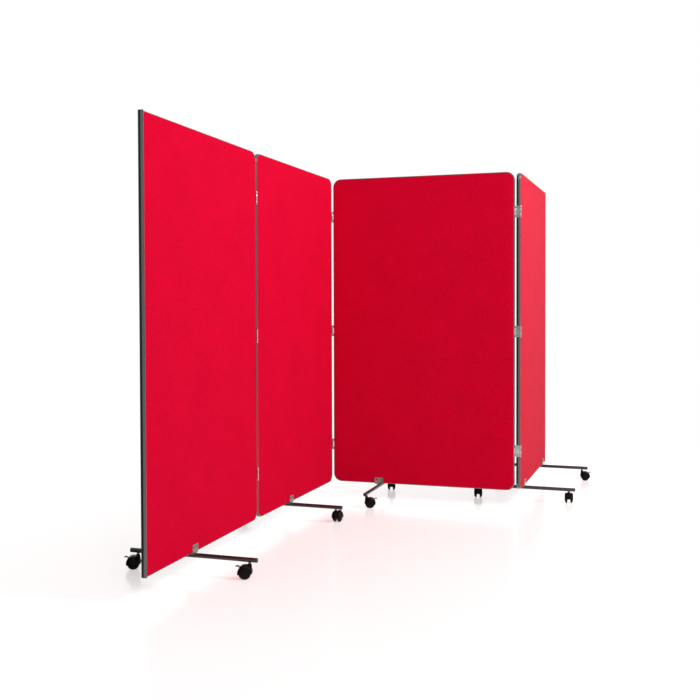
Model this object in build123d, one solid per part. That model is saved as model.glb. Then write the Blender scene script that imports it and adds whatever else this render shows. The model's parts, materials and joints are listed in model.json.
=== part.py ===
from build123d import *
import os
from math import cos, radians, sin

# A four-panel rolling partition. Millimetres, +Z up, the castors stand on Z = 0.
# Panel frame: X runs along the panel from its start edge, +Y is its left side,
# Z = 0 is the board's bottom edge. Castor frame: the swivel axis is Z, the wheels
# trail along +X and Z = 0 is the floor.

# ---- panels ----
PANEL_WIDTH = 1075.0
PANEL_HEIGHT = 1800.0
PANEL_THICKNESS = 23.0
CORNER_RADIUS = 44.0  # at the hinged edges: the partition's two free edges are square
FABRIC_THICKNESS = 1.0

# ---- edge trim: a T-moulding with a ridged cap ----
TRIM_BULGE = 4.0
TRIM_EDGE_BAND = 1.2
TRIM_CROWN_WIDTH = 3.0
TONGUE_DEPTH = 10.0
TONGUE_THICKNESS = 6.0  # wider than the hinge screws that go through it

# ---- double-action hinges: leaf, pin, link plate, pin, leaf ----
HINGE_HEIGHT = 64.0
HINGE_GAP = 15.0  # between the two board edges when the panels are in line
PIN_PROUD = 2.0  # pin axis beyond the panel face
PIN_RADIUS = 2.0
PIN_CLEARANCE = 0.05
KNUCKLE_RADIUS = 4.0
KNUCKLE_LENGTH = 15.0  # each of the two outer knuckles of a leaf
KNUCKLE_CLEARANCE = 0.6
LEAF_THICKNESS = 2.0
LEAF_INSET = 1.5
LEAF_SEAT_CLEARANCE = 0.5
LINK_THICKNESS = 2.0
HINGE_INSET = 220.0  # top and bottom hinge centres from the board's ends
SCREW_SPACING = 42.0
SCREW_RADIUS = 1.75
SCREW_HEAD_RADIUS = 3.8
SCREW_LENGTH = 25.0
ACCESS_HOLE_RADIUS = 4.5

# ---- feet: a cross rail under the panel, a saddle bracket, two castors ----
RAIL_LENGTH = 600.0
RAIL_RADIUS = 10.0
RAIL_WALL = 1.5
PLUG_CAP = 3.0
PLUG_DEPTH = 12.0
PLUG_FILLET = 1.5
CASTOR_INSET = 35.0  # castor stem from the rail's end
SADDLE_WIDTH = 52.0
SADDLE_BASE = 3.0  # between the rail and the trim, so a folded panel passes over the rail
SADDLE_EAR_HEIGHT = 32.0
SADDLE_WALL = 2.0
SADDLE_CORNER = 6.0
CRADLE_DEPTH = 4.0
CRADLE_WALL = 4.0
BOLT_RADIUS = 2.5
BOLT_HEAD_RADIUS = 5.0
BOLT_HEAD_HEIGHT = 1.4
BOLT_HEAD_FILLET = 1.0
BOLT_SPACING = 28.0
BOLT_HEIGHT = 20.0  # above the board's bottom edge

# ---- castors: hooded twin wheels with a brake lever ----
CASTOR_HEIGHT = 70.0  # floor to rail
TRAIL = 20.0  # swivel axis to axle
WHEEL_RADIUS = 27.0
WHEEL_INNER_FACE = 6.8
WHEEL_HUB_RADIUS = 9.0
WHEEL_RIM_FACE = 9.5
WHEEL_RIM_CHAMFER = 1.2
TREAD_EDGE = 16.0
DOME_MID_FACE = 21.8
DOME_MID_RADIUS = 20.0
WHEEL_OUTER_FACE = 24.5
HUB_CAP_RADIUS = 9.0
AXLE_RADIUS = 3.0
AXLE_HALF_LENGTH = 22.0
AXLE_CLEARANCE = 0.05
WEB_HALF = 6.0
WEB_HUB_RADIUS = 9.0
WEB_DROP = 2.5
HOOD_CLEARANCE = 1.6
HOOD_SHELL = 2.6
HOOD_SHOULDER = 17.0
HOOD_LIP_FACE = 22.6
HOOD_LIP_RADIUS = 23.6
HOOD_FRONT_DROP = 5.0  # degrees below the axle, on the stem's side
HOOD_REAR_DROP = 15.0
BOSS_RADIUS = 8.5
BOSS_TOP = 64.0
BOSS_FOOT = 50.0
STEM_RADIUS = 4.0
STEM_CLEARANCE = 0.05
STEM_FOOT = 37.0
STEM_END_GAP = 0.5
STEM_COLLAR_RADIUS = 6.5
STEM_COLLAR = 1.5

# ---- brake lever, measured from the axle ----
LEVER_PIVOT_X = 13.0
LEVER_PIVOT_Z = 13.0
LEVER_ANGLE = 45.0
LEVER_TRAVEL = 16.0
LEVER_HUB_RADIUS = 4.0
LEVER_HALF_WIDTH = 2.5
LEVER_ARM = 4.0
LEVER_ARM_LENGTH = 18.5
LEVER_CLEARANCE = 0.5
TRUNNION_RADIUS = 1.5
TRUNNION_CLEARANCE = 0.05
PADDLE_HALF_WIDTH = 8.0
PADDLE_TOP = [(25.2, 26.6), (31.0, 29.5), (39.5, 27.6)]
PADDLE_UNDERSIDE = [(39.0, 25.0), (31.2, 26.8), (26.9, 24.6)]

# ---- how the partition stands at rest ----
# Degrees folded about each hinge line's left and right pins.
REST_FOLDS = {"12": (0.0, 1.0), "23": (0.0, 89.0), "34": (89.0, 0.0)}
HEADING = 90.0  # the first panel runs along +Y
# Rails along each panel, as shares of the width from its start edge. They differ
# from panel to panel, so that the feet nest beside each other when it is folded.
FOOT_SHARES = {1: [0.38], 2: [0.40], 3: [0.26], 4: [0.16, 0.89]}
# The direction in which each castor trails, in the object's frame: a right-hand and
# a left-hand castor for each rail.
CASTOR_HEADINGS = [(197.0, 204.0), (84.0, 150.0), (14.0, 104.0), (96.0, 101.0), (6.0, 196.0)]

HALF_THICKNESS = PANEL_THICKNESS / 2
HALF_GAP = HINGE_GAP / 2
PIN_OFFSET = HALF_THICKNESS + PIN_PROUD
BOARD_BOTTOM = CASTOR_HEIGHT + 2 * RAIL_RADIUS + SADDLE_BASE + TRIM_BULGE
RAIL_AXIS = -(TRIM_BULGE + SADDLE_BASE + RAIL_RADIUS)
CASTOR_REACH = RAIL_LENGTH / 2 - CASTOR_INSET
HINGE_HEIGHTS = [HINGE_INSET, PANEL_HEIGHT / 2, PANEL_HEIGHT - HINGE_INSET]
PANELS = list(FOOT_SHARES)
LINES = list(REST_FOLDS)
UPWARD = (Align.CENTER, Align.CENTER, Align.MIN)


# ---------------------------------------------------------------- helpers

def rod_x(radius, length, x=0.0, y=0.0, z=0.0):
    """A cylinder that starts at a point and runs along +X."""
    return Pos(x, y, z) * Rot(0, 90, 0) * Cylinder(radius, length, align=UPWARD)


def rod_y(radius, length, x=0.0, y=0.0, z=0.0):
    """A cylinder that starts at a point and runs along +Y."""
    return Pos(x, y, z) * Rot(-90, 0, 0) * Cylinder(radius, length, align=UPWARD)


def rod_z(radius, length, x=0.0, y=0.0, z=0.0):
    """A cylinder that starts at a point and runs along +Z."""
    return Pos(x, y, z) * Cylinder(radius, length, align=UPWARD)


def block(low, high):
    """A box between two opposite corners."""
    size = [b - a for a, b in zip(low, high)]
    centre = [(a + b) / 2 for a, b in zip(low, high)]
    return Pos(*centre) * Box(*size)


def side_plate(points, half_width):
    """An outline drawn in the XZ plane, extruded evenly to both sides of it."""
    return extrude(Plane.XZ * make_face(Polyline(*points, close=True)), half_width, both=True)


def solids_of(shapes):
    """Every shape's solids in one list, left separate."""
    return [solid for shape in shapes for solid in shape.solids()]


def group(*shapes):
    """One node made of separate solids."""
    return Compound(solids_of(shapes))


# ---------------------------------------------------------------- panel

def has_hinge(panel, at_end):
    """Whether a panel is hinged at its start or its end edge."""
    return panel < PANELS[-1] if at_end else panel > PANELS[0]


def outline_at(panel, y, grow):
    """A panel's outline, grown evenly, in the plane at height y of its thickness."""
    plane = Plane(origin=(PANEL_WIDTH / 2, y, PANEL_HEIGHT / 2), x_dir=(1, 0, 0), z_dir=(0, -1, 0))
    outline = Rectangle(PANEL_WIDTH + 2 * grow, PANEL_HEIGHT + 2 * grow)
    rounded = [corner for corner in outline.vertices() if has_hinge(panel, corner.X > 0)]
    return plane * fillet(rounded, CORNER_RADIUS + grow)


def slab(panel, grow, low, high):
    """A panel's outline between two planes of its thickness."""
    return extrude(outline_at(panel, low, grow), high - low, dir=(0, 1, 0))


def envelope(panel):
    """The whole panel with its trim: the ridged cap all round, filled."""
    crown = TRIM_CROWN_WIDTH / 2
    facets = []
    for side in (-1, 1):
        edge = outline_at(panel, side * HALF_THICKNESS, TRIM_EDGE_BAND)
        ridge = outline_at(panel, side * crown, TRIM_BULGE)
        facets.append(loft([edge, ridge], ruled=True))
    return slab(panel, TRIM_BULGE, -crown, crown) + facets[0] + facets[1]


def tongue(panel):
    """The barb of the trim, a flat ring that sits in the board's groove."""
    half = TONGUE_THICKNESS / 2
    return slab(panel, 0, -half, half) - slab(panel, -TONGUE_DEPTH, -half, half)


def foot_places(panel):
    """Where the panel's cross rails are, along it."""
    return [share * PANEL_WIDTH for share in FOOT_SHARES[panel]]


def hinge_screw_rods(panel):
    """The shanks of the screws that hold the panel's hinge leaves."""
    rods = []
    for at_end in (False, True):
        if not has_hinge(panel, at_end):
            continue
        start = PANEL_WIDTH - SCREW_LENGTH if at_end else 0.0
        for height in HINGE_HEIGHTS:
            for side in (-1, 1):
                z = height + side * SCREW_SPACING / 2
                rods.append(rod_x(SCREW_RADIUS, SCREW_LENGTH, start, 0.0, z))
    return rods


def bolt_places(panel):
    """Where the saddle bolts go through the panel, as (x, z)."""
    places = []
    for x in foot_places(panel):
        for side in (-1, 1):
            places.append((x + side * BOLT_SPACING / 2, BOLT_HEIGHT))
    return places


def bolt_shanks(panel):
    """The shanks of the saddle bolts, from ear to ear."""
    reach = HALF_THICKNESS + SADDLE_WALL
    return [rod_y(BOLT_RADIUS, 2 * reach, x, -reach, z) for x, z in bolt_places(panel)]


def make_board(panel):
    """The core board with its edge groove, screw holes and bolt holes."""
    face = HALF_THICKNESS - FABRIC_THICKNESS
    board = slab(panel, 0, -face, face) - tongue(panel)
    for hole in hinge_screw_rods(panel) + bolt_shanks(panel):
        board -= hole
    return board


def make_fabric(panel):
    """The cloth on the two faces, one sheet each."""
    face = HALF_THICKNESS - FABRIC_THICKNESS
    sheets = []
    for low, high in ((-HALF_THICKNESS, -face), (face, HALF_THICKNESS)):
        sheet = slab(panel, 0, low, high)
        for hole in bolt_shanks(panel):
            sheet -= hole
        sheets.append(sheet)
    return group(*sheets)


def make_trim(panel):
    """The T-moulding, with its cap cut back where a hinge leaf is seated."""
    trim = envelope(panel) - slab(panel, 0, -HALF_THICKNESS, HALF_THICKNESS) + tongue(panel)
    half_seat = HINGE_HEIGHT / 2 + LEAF_SEAT_CLEARANCE
    for at_end in (False, True):
        if not has_hinge(panel, at_end):
            continue
        low_x = PANEL_WIDTH if at_end else -2 * TRIM_BULGE
        for height in HINGE_HEIGHTS:
            low = (low_x, -PANEL_THICKNESS, height - half_seat)
            high = (low_x + 2 * TRIM_BULGE, PANEL_THICKNESS, height + half_seat)
            trim -= block(low, high)
    for hole in hinge_screw_rods(panel):
        trim -= hole
    return trim


# ---------------------------------------------------------------- hinges
# Hinge frame: X = 0 is the middle of the gap, Y = 0 the middle of the thickness and
# Z = 0 the middle of the hinge. The leaf below is the one on a panel's end edge. It
# turns on the left pin. Half a turn makes the next panel's leaf, on the right pin.

def outer_knuckles():
    """The lower and upper stretches of the hinge that a leaf's two knuckles fill."""
    half = HINGE_HEIGHT / 2
    return [(-half, -half + KNUCKLE_LENGTH), (half - KNUCKLE_LENGTH, half)]


def make_leaf():
    """A leaf: the plate on the panel's edge, two arms and two knuckles."""
    half = HINGE_HEIGHT / 2
    plate_edge = HALF_THICKNESS - LEAF_INSET
    face = -HALF_GAP + LEAF_THICKNESS
    leaf = block((-HALF_GAP, -plate_edge, -half), (face, plate_edge, half))
    arm_low = PIN_OFFSET - LEAF_THICKNESS / 2
    arm_high = PIN_OFFSET + LEAF_THICKNESS / 2
    for low, high in outer_knuckles():
        leaf += block((-HALF_GAP, plate_edge - LEAF_INSET, low), (face, arm_high, high))
        leaf += block((-HALF_GAP, arm_low, low), (0.0, arm_high, high))
        leaf += rod_z(KNUCKLE_RADIUS, high - low, 0.0, PIN_OFFSET, low)
    leaf -= rod_z(PIN_RADIUS + PIN_CLEARANCE, HINGE_HEIGHT, 0.0, PIN_OFFSET, -half)
    for screw in make_leaf_screws():
        leaf -= screw
    return leaf


def make_leaf_screws():
    """The two countersunk wood screws of one leaf."""
    screws = []
    for side in (-1, 1):
        z = side * SCREW_SPACING / 2
        shank = rod_x(SCREW_RADIUS, SCREW_LENGTH, -HALF_GAP - SCREW_LENGTH, 0.0, z)
        cone = Cone(SCREW_RADIUS, SCREW_HEAD_RADIUS, LEAF_THICKNESS, align=UPWARD)
        head = Pos(-HALF_GAP, 0.0, z) * Rot(0, 90, 0) * cone
        screws.append(shank + head)
    return screws


def make_leaves(panel):
    """All the hinge leaves of a panel, with their screws."""
    solids = []
    one_hinge = [make_leaf(), *make_leaf_screws()]
    for at_end in (False, True):
        if not has_hinge(panel, at_end):
            continue
        gap_middle = PANEL_WIDTH + HALF_GAP if at_end else -HALF_GAP
        turn = 0 if at_end else 180
        for height in HINGE_HEIGHTS:
            place = Location((gap_middle, 0, height), (0, 0, turn))
            solids += [place * piece for piece in one_hinge]
    return group(*solids)


def make_link():
    """The link plate between the two pins, with its own knuckle on each."""
    half = HINGE_HEIGHT / 2
    middle = half - KNUCKLE_LENGTH - KNUCKLE_CLEARANCE
    web = PIN_OFFSET - KNUCKLE_RADIUS - KNUCKLE_CLEARANCE
    x = LINK_THICKNESS / 2
    link = block((-x, -web, -half), (x, web, half))
    link += block((-x, -PIN_OFFSET, -middle), (x, PIN_OFFSET, middle))
    for side in (-1, 1):
        link += rod_z(KNUCKLE_RADIUS, 2 * middle, 0.0, side * PIN_OFFSET, -middle)
        z = side * SCREW_SPACING / 2
        link -= rod_x(ACCESS_HOLE_RADIUS, LINK_THICKNESS, -x, 0.0, z)
    for side in (-1, 1):
        link -= rod_z(PIN_RADIUS, HINGE_HEIGHT, 0.0, side * PIN_OFFSET, -half)
    return link


def make_pins():
    """The two pins of one hinge."""
    half = HINGE_HEIGHT / 2
    return [rod_z(PIN_RADIUS, HINGE_HEIGHT, 0.0, side * PIN_OFFSET, -half) for side in (-1, 1)]


def at_each_hinge(*pieces):
    """Copies of one hinge's pieces at the three heights of a hinge line."""
    return group(*[Pos(0, 0, height) * piece for height in HINGE_HEIGHTS for piece in pieces])


# ---------------------------------------------------------------- feet

def make_rail(x):
    """A cross rail with its two end plugs and the two castor stems fixed in it."""
    tube_length = RAIL_LENGTH - 2 * PLUG_CAP
    bore = RAIL_RADIUS - RAIL_WALL
    tube = rod_y(RAIL_RADIUS, tube_length, x, -tube_length / 2, RAIL_AXIS)
    tube -= rod_y(bore, tube_length, x, -tube_length / 2, RAIL_AXIS)
    cap = rod_y(RAIL_RADIUS, PLUG_CAP, 0.0, tube_length / 2, 0.0)
    cap = fillet(cap.edges().sort_by(Axis.Y)[-1], PLUG_FILLET)
    plug = cap + rod_y(bore, PLUG_DEPTH, 0.0, tube_length / 2 - PLUG_DEPTH, 0.0)
    plugs = [Location((x, 0, RAIL_AXIS), (0, 0, turn)) * plug for turn in (0, 180)]
    stems = []
    for side in (-1, 1):
        shank = make_stem_shank(x, side * CASTOR_REACH)
        tube -= shank
        stems.append(shank + make_stem_collar(x, side * CASTOR_REACH))
    return [tube, *plugs, *stems]


def make_stem_shank(x, y):
    """A castor's stem, in the panel's frame: fixed in the rail, its foot in the hood."""
    floor = -BOARD_BOTTOM
    top = RAIL_AXIS + RAIL_RADIUS - 2 * RAIL_WALL
    return rod_z(STEM_RADIUS, top - floor - STEM_FOOT, x, y, floor + STEM_FOOT)


def make_stem_collar(x, y):
    """The collar of a castor's stem, shaped to the underside of the rail."""
    foot = CASTOR_HEIGHT - BOARD_BOTTOM - STEM_COLLAR
    collar = rod_z(STEM_COLLAR_RADIUS, RAIL_AXIS - foot, x, y, foot)
    return collar - rod_y(RAIL_RADIUS, 2 * STEM_COLLAR_RADIUS, x, y - STEM_COLLAR_RADIUS, RAIL_AXIS)


def make_saddle(x, body):
    """A saddle bracket: two ears up the faces, a base on the trim, a cradle on the rail."""
    half_width = SADDLE_WIDTH / 2
    half_depth = HALF_THICKNESS + SADDLE_WALL
    bottom = -(TRIM_BULGE + SADDLE_BASE)
    saddle = block((x - half_width, -half_depth, bottom), (x + half_width, half_depth, SADDLE_EAR_HEIGHT))
    corners = saddle.edges().filter_by(Axis.Y).group_by(Axis.Z)[-1]
    saddle = fillet(corners, SADDLE_CORNER)
    half_cradle = RAIL_RADIUS + CRADLE_WALL
    low = (x - half_cradle, -half_depth, bottom - CRADLE_DEPTH)
    saddle += block(low, (x + half_cradle, half_depth, bottom))
    saddle -= rod_y(RAIL_RADIUS, 2 * half_depth, x, -half_depth, RAIL_AXIS)
    return saddle - body


def make_bolt(x, z):
    """A saddle bolt with a low domed head on both ears."""
    reach = HALF_THICKNESS + SADDLE_WALL
    bolt = rod_y(BOLT_RADIUS, 2 * reach, x, -reach, z)
    head = rod_y(BOLT_HEAD_RADIUS, BOLT_HEAD_HEIGHT, 0.0, reach, 0.0)
    head = fillet(head.edges().sort_by(Axis.Y)[-1], BOLT_HEAD_FILLET)
    for turn in (0, 180):
        bolt += Location((x, 0, z), (0, 0, turn)) * head
    return bolt


def make_brackets(panel):
    """A panel's saddles and the bolts through them."""
    body = envelope(panel)
    bolts = [make_bolt(x, z) for x, z in bolt_places(panel)]
    saddles = []
    for x in foot_places(panel):
        saddle = make_saddle(x, body)
        for shank in bolt_shanks(panel):
            saddle -= shank
        saddles.append(saddle)
    return group(*saddles, *bolts)


# ---------------------------------------------------------------- castors

def around_axle(points, arc=360.0, start=0.0):
    """A profile of (distance along the axle, radius), turned about the axle."""
    face = Plane.YZ * make_face(Polyline(*points, close=True))
    turned = revolve(face, Axis.Y, arc)
    return Pos(TRAIL, 0, WHEEL_RADIUS) * Rot(0, start, 0) * turned


def make_wheel():
    """One wheel: a bevelled inner face, a narrow tread and a domed outer face."""
    hub = Polyline(
        (TREAD_EDGE, WHEEL_RADIUS),
        (WHEEL_RIM_FACE + WHEEL_RIM_CHAMFER, WHEEL_RADIUS),
        (WHEEL_RIM_FACE, WHEEL_RADIUS - WHEEL_RIM_CHAMFER),
        (WHEEL_INNER_FACE, WHEEL_HUB_RADIUS),
        (WHEEL_INNER_FACE, AXLE_RADIUS),
        (AXLE_HALF_LENGTH, AXLE_RADIUS),
        (AXLE_HALF_LENGTH, 0.0),
        (WHEEL_OUTER_FACE, 0.0),
        (WHEEL_OUTER_FACE, HUB_CAP_RADIUS),
    )
    rim_end = (WHEEL_OUTER_FACE, HUB_CAP_RADIUS)
    dome = ThreePointArc(rim_end, (DOME_MID_FACE, DOME_MID_RADIUS), (TREAD_EDGE, WHEEL_RADIUS))
    wheel = revolve(Plane.YZ * make_face(hub + dome), Axis.Y)
    return Pos(TRAIL, 0, WHEEL_RADIUS) * wheel


def make_wheels():
    """The two wheels and the axle that they are pressed on."""
    wheel = make_wheel()
    axle = rod_y(AXLE_RADIUS, 2 * AXLE_HALF_LENGTH, TRAIL, -AXLE_HALF_LENGTH, WHEEL_RADIUS)
    return group(wheel, mirror(wheel, Plane.XZ), axle)


def hood_inner():
    return WHEEL_RADIUS + HOOD_CLEARANCE


def hood_outer():
    return hood_inner() + HOOD_SHELL


def make_fender():
    """The hood's shell over the treads and the shoulders of both wheels."""
    inner = hood_inner()
    outer = hood_outer()
    profile = [
        (-HOOD_LIP_FACE, HOOD_LIP_RADIUS),
        (-HOOD_SHOULDER, inner),
        (HOOD_SHOULDER, inner),
        (HOOD_LIP_FACE, HOOD_LIP_RADIUS),
        (HOOD_LIP_FACE + HOOD_SHELL / 2, HOOD_LIP_RADIUS + HOOD_SHELL / 2),
        (HOOD_SHOULDER + HOOD_SHELL / 2, outer),
        (-HOOD_SHOULDER - HOOD_SHELL / 2, outer),
        (-HOOD_LIP_FACE - HOOD_SHELL / 2, HOOD_LIP_RADIUS + HOOD_SHELL / 2),
    ]
    arc = 180.0 + HOOD_FRONT_DROP + HOOD_REAR_DROP
    return around_axle(profile, arc, -90.0 - HOOD_FRONT_DROP)


def make_web():
    """The plate between the wheels that carries the axle, the stem and the lever."""
    radius = hood_inner() + HOOD_SHELL / 2
    disc = rod_y(radius, 2 * WEB_HALF, TRAIL, -WEB_HALF, WHEEL_RADIUS)
    lower = block(
        (TRAIL - radius, -WEB_HALF, WHEEL_RADIUS - radius),
        (TRAIL + radius, WEB_HALF, WHEEL_RADIUS - WEB_DROP),
    )
    hub = rod_y(WEB_HUB_RADIUS, 2 * WEB_HALF, TRAIL, -WEB_HALF, WHEEL_RADIUS)
    return disc - lower + hub


def make_boss():
    """The swivel boss above the wheels and the nose below it."""
    nose = TRAIL - hood_outer()
    outline = [
        (-BOSS_RADIUS, BOSS_TOP - BOSS_RADIUS),
        (BOSS_RADIUS, BOSS_TOP - BOSS_RADIUS),
        (BOSS_RADIUS, BOSS_FOOT),
        (nose + HOOD_SHELL, WHEEL_RADIUS + WEB_DROP),
        (nose, WHEEL_RADIUS + WEB_DROP),
    ]
    boss = side_plate(outline, BOSS_RADIUS)
    boss += rod_z(BOSS_RADIUS, BOSS_TOP - BOSS_FOOT, 0.0, 0.0, BOSS_FOOT)
    wheel_room = rod_y(hood_inner(), 2 * PANEL_THICKNESS, TRAIL, -PANEL_THICKNESS, WHEEL_RADIUS)
    return boss - wheel_room


def lever_point(radius, angle, offset):
    """A point at a distance from the lever's pivot along an angle, moved square to it."""
    turn = radians(angle)
    x = TRAIL + LEVER_PIVOT_X + radius * cos(turn) - offset * sin(turn)
    z = WHEEL_RADIUS + LEVER_PIVOT_Z + radius * sin(turn) + offset * cos(turn)
    return (x, z)


def lever_slot():
    """The room in the web and the shell that the lever's arm needs over its travel."""
    offset = LEVER_ARM / 2 + LEVER_CLEARANCE
    low = LEVER_ANGLE - LEVER_TRAVEL - 1.0
    high = LEVER_ANGLE + 1.0
    reach = 2 * LEVER_ARM_LENGTH
    outline = [
        lever_point(0.0, high, offset),
        lever_point(reach, high, offset),
        lever_point(reach, low, -offset),
        lever_point(0.0, low, -offset),
    ]
    half = LEVER_HALF_WIDTH + LEVER_CLEARANCE
    pivot_x, pivot_z = lever_point(0.0, 0.0, 0.0)
    room = rod_y(LEVER_HUB_RADIUS + LEVER_CLEARANCE, 2 * half, pivot_x, -half, pivot_z)
    return side_plate(outline, half) + room


def make_hood():
    """The castor's body: shell, web and boss in one moulding."""
    hood = make_fender() + make_web() + make_boss()
    bore_length = BOSS_TOP - STEM_FOOT + STEM_END_GAP
    hood -= rod_z(STEM_RADIUS + STEM_CLEARANCE, bore_length, 0.0, 0.0, STEM_FOOT - STEM_END_GAP)
    axle_bore = AXLE_RADIUS + AXLE_CLEARANCE
    hood -= rod_y(axle_bore, 2 * WEB_HALF, TRAIL, -WEB_HALF, WHEEL_RADIUS)
    hood -= lever_slot()
    pivot_x, pivot_z = lever_point(0.0, 0.0, 0.0)
    trunnion_bore = TRUNNION_RADIUS + TRUNNION_CLEARANCE
    hood -= rod_y(trunnion_bore, 2 * WEB_HALF, pivot_x, -WEB_HALF, pivot_z)
    return hood


def make_brake():
    """The brake lever: a hub on two trunnions, an arm and a foot paddle."""
    pivot_x, pivot_z = lever_point(0.0, 0.0, 0.0)
    half = LEVER_ARM / 2
    arm = [
        lever_point(0.0, LEVER_ANGLE, half),
        lever_point(LEVER_ARM_LENGTH, LEVER_ANGLE, half),
        lever_point(LEVER_ARM_LENGTH, LEVER_ANGLE, -half),
        lever_point(0.0, LEVER_ANGLE, -half),
    ]
    paddle = [(TRAIL + x, WHEEL_RADIUS + z) for x, z in PADDLE_TOP + PADDLE_UNDERSIDE]
    lever = rod_y(LEVER_HUB_RADIUS, 2 * LEVER_HALF_WIDTH, pivot_x, -LEVER_HALF_WIDTH, pivot_z)
    lever += rod_y(TRUNNION_RADIUS, 2 * WEB_HALF, pivot_x, -WEB_HALF, pivot_z)
    lever += side_plate(arm, LEVER_HALF_WIDTH)
    lever += side_plate(paddle, PADDLE_HALF_WIDTH)
    return lever


# ---------------------------------------------------------------- how it stands

def about_pin(side, angle):
    """A turn about a hinge line's left (+1) or right (-1) pin, in the hinge frame."""
    return Pos(0, side * PIN_OFFSET, 0) * Rot(0, 0, angle) * Pos(0, -side * PIN_OFFSET, 0)


def stand():
    """Where each panel and each hinge line's links stand, before the origin is set."""
    places = {"panel_1": Location((0, 0, BOARD_BOTTOM), (0, 0, HEADING))}
    for line in LINES:
        left_fold, right_fold = REST_FOLDS[line]
        before = places["panel_" + line[0]]
        gap = before * Pos(PANEL_WIDTH + HALF_GAP, 0, 0)
        link = gap * about_pin(1, left_fold)
        places["hinge_" + line] = link
        places["panel_" + line[1]] = link * about_pin(-1, -right_fold) * Pos(HALF_GAP, 0, 0)
    return places


def castor_places(places):
    """Where each castor stands: the panel's rails in turn, right-hand castor first."""
    found = []
    headings = iter(CASTOR_HEADINGS)
    for panel in PANELS:
        for x in foot_places(panel):
            for side, heading in zip((-1, 1), next(headings)):
                stem = places[f"panel_{panel}"] * Pos(x, side * CASTOR_REACH, 0)
                found.append(Location((stem.position.X, stem.position.Y, 0), (0, 0, heading)))
    return found


def build_nodes():
    """Every node by its name, in the object's frame."""
    places = stand()
    nodes = {}
    for panel in PANELS:
        place = places[f"panel_{panel}"]
        rails = [piece for x in foot_places(panel) for piece in make_rail(x)]
        pieces = {
            "board": make_board(panel),
            "fabric": make_fabric(panel),
            "edge_trim": make_trim(panel),
            "hinge_leaves": make_leaves(panel),
            "foot_rail": group(*rails),
            "foot_bracket": make_brackets(panel),
        }
        for name, piece in pieces.items():
            nodes[f"panel_{panel}_{name}"] = place * piece
    links = at_each_hinge(make_link())
    pins = at_each_hinge(*make_pins())
    for line in LINES:
        nodes[f"hinge_{line}_links"] = places["hinge_" + line] * links
        nodes[f"hinge_{line}_pins"] = places["hinge_" + line] * pins
    castor = {"hood": make_hood(), "wheels": make_wheels(), "brake_lever": make_brake()}
    for number, place in enumerate(castor_places(places), start=1):
        for name, piece in castor.items():
            nodes[f"castor_{number}_{name}"] = place * piece
    return nodes


def origin_shift(nodes):
    """The move that puts the origin at the middle of the whole object's base."""
    boxes = [node.bounding_box() for node in nodes.values()]
    low_x = min(box.min.X for box in boxes)
    high_x = max(box.max.X for box in boxes)
    low_y = min(box.min.Y for box in boxes)
    high_y = max(box.max.Y for box in boxes)
    return Pos(-(low_x + high_x) / 2, -(low_y + high_y) / 2, 0)


def main():
    os.makedirs("parts", exist_ok=True)
    nodes = build_nodes()
    shift = origin_shift(nodes)
    for name, node in nodes.items():
        export_step(shift * node, f"parts/{name}.step")


if __name__ == "__main__":
    main()
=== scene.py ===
"""A rolling partition: its cloth, edge moulding, hinge fittings, feet, castors and stage.

Everything is in metres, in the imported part's own frame: +Z up, floor at Z = 0. A panel's
own frame has x along the panel from its start edge, y to its left side and z up from the
board's bottom edge. A castor's own frame has z on its swivel axis and x where it trails.
"""

import json
import math

import bmesh
import bpy
from mathutils import Euler, Matrix, Vector, noise


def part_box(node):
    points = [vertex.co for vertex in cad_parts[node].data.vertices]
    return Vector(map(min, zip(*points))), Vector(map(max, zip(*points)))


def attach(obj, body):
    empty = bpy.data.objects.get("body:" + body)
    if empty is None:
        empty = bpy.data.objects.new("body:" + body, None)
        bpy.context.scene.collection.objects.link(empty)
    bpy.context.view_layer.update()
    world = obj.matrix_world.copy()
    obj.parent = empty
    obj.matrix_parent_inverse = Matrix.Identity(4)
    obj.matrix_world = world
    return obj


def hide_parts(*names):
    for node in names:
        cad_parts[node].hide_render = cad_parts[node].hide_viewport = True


bl_info = {
    "name": "Rolling Partition",
    "version": (1, 0, 0),
    "blender": (4, 5, 0),
    "location": "View3D > Sidebar > Partition",
    "description": "Dresses a folding partition: cloth, edge moulding, hinges, feet and castors",
    "category": "Add Mesh",
}

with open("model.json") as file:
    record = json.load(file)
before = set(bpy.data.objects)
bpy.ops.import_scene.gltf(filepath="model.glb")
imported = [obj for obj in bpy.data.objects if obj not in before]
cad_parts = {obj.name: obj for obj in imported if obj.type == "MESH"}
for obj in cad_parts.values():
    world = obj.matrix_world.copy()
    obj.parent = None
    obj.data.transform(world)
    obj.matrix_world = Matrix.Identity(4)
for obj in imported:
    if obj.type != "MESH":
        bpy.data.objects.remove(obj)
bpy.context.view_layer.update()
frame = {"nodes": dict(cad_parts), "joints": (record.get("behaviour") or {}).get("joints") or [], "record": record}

UP = Vector((0, 0, 1))
SMOOTH_ANGLE = 40  # degrees: edges that turn by less are shaded smoothly

# ---- the panels, as the frame has them ----
PANELS = (1, 2, 3, 4)
LINES = ("12", "23", "34")
SIDES = {"left": 1, "right": -1}
PANEL_WIDTH = 1.075
CORNER_RADIUS = 0.044  # at the hinged edges: the two free edges are square
TRIM_BULGE = 0.004

# ---- the hinges ----
HINGE_HEIGHT = 0.064
HINGE_INSET = 0.220
LEAF_THICKNESS = 0.002
LEAF_SEAT = HINGE_HEIGHT + 0.001
SCREW_SPACING = 0.042
LEAF_ROUNDING = 0.00025

# ---- the feet ----
RAIL_LENGTH = 0.600
RAIL_RADIUS = 0.010
PLUG_CAP = 0.003
SADDLE_BASE = 0.003
SADDLE_WALL = 0.002
BOLT_SPACING = 0.028
BOLT_HEIGHT = 0.020
BRACKET_ROUNDING = 0.0005
FOOT_SHARES = {1: (0.38,), 2: (0.40,), 3: (0.26,), 4: (0.16, 0.89)}

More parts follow.
